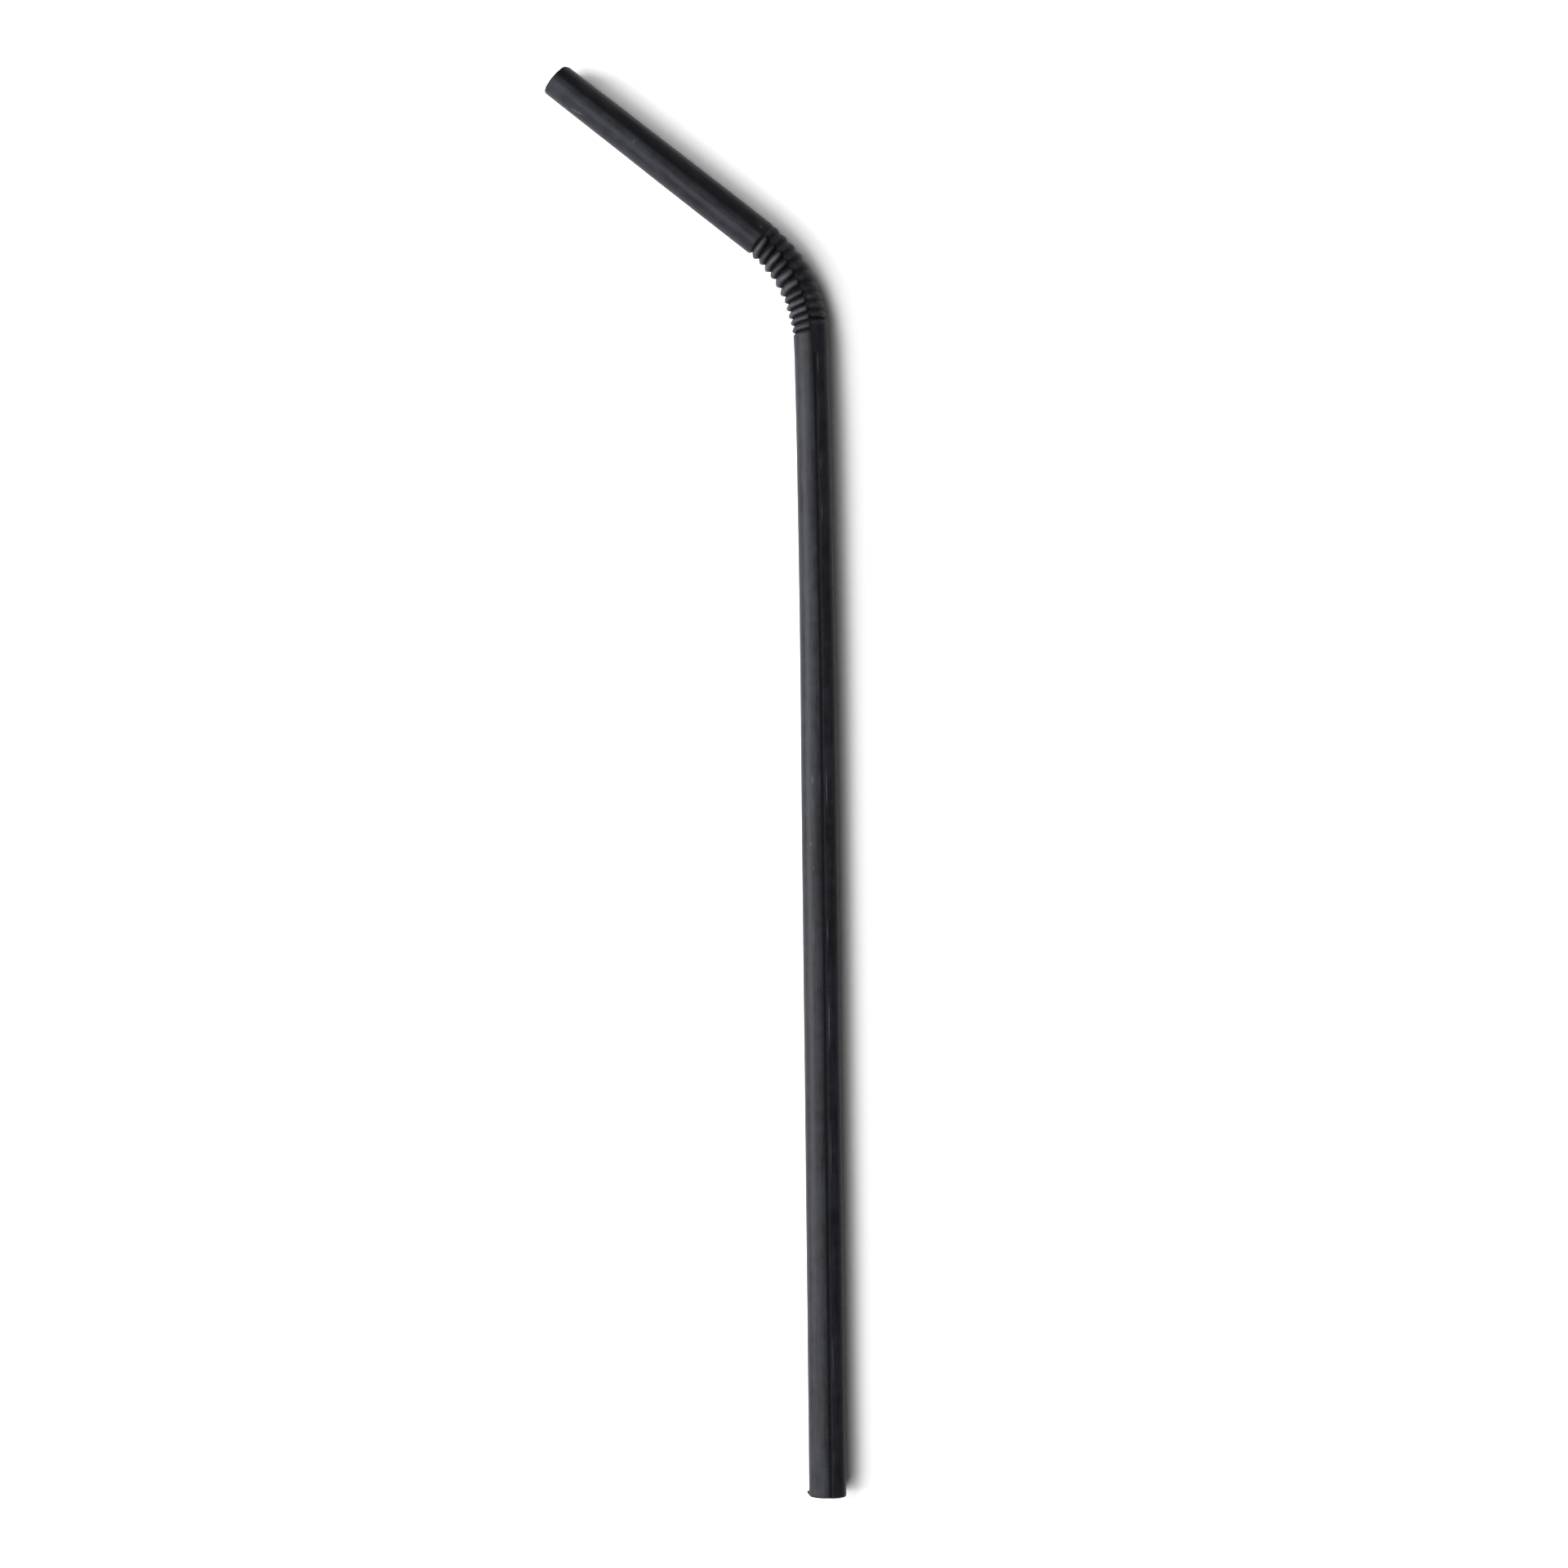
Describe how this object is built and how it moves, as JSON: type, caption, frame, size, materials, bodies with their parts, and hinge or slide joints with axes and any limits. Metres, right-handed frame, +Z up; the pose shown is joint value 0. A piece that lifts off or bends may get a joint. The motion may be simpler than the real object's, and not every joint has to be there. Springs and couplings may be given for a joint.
{
  "type": "bendy paper straw",
  "caption": "Black paper drinking straw with a lengthwise lap seam and a crimped bellows, bent so that its short leg leans off the long one; it lies on its side.",
  "frame": {"origin": "under the middle of the straw's box, on the surface that it lies on", "axes": "+Y along the long leg from its foot towards the bellows, +Z up from the surface, and the short leg leans off towards -X"},
  "size_m": [0.0394, 0.1996, 0.0052],
  "materials": {
    "black_paper": "satin"
  },
  "bodies": {
    "root": {"paper_straw": "black_paper"}
  },
  "joints": []
}
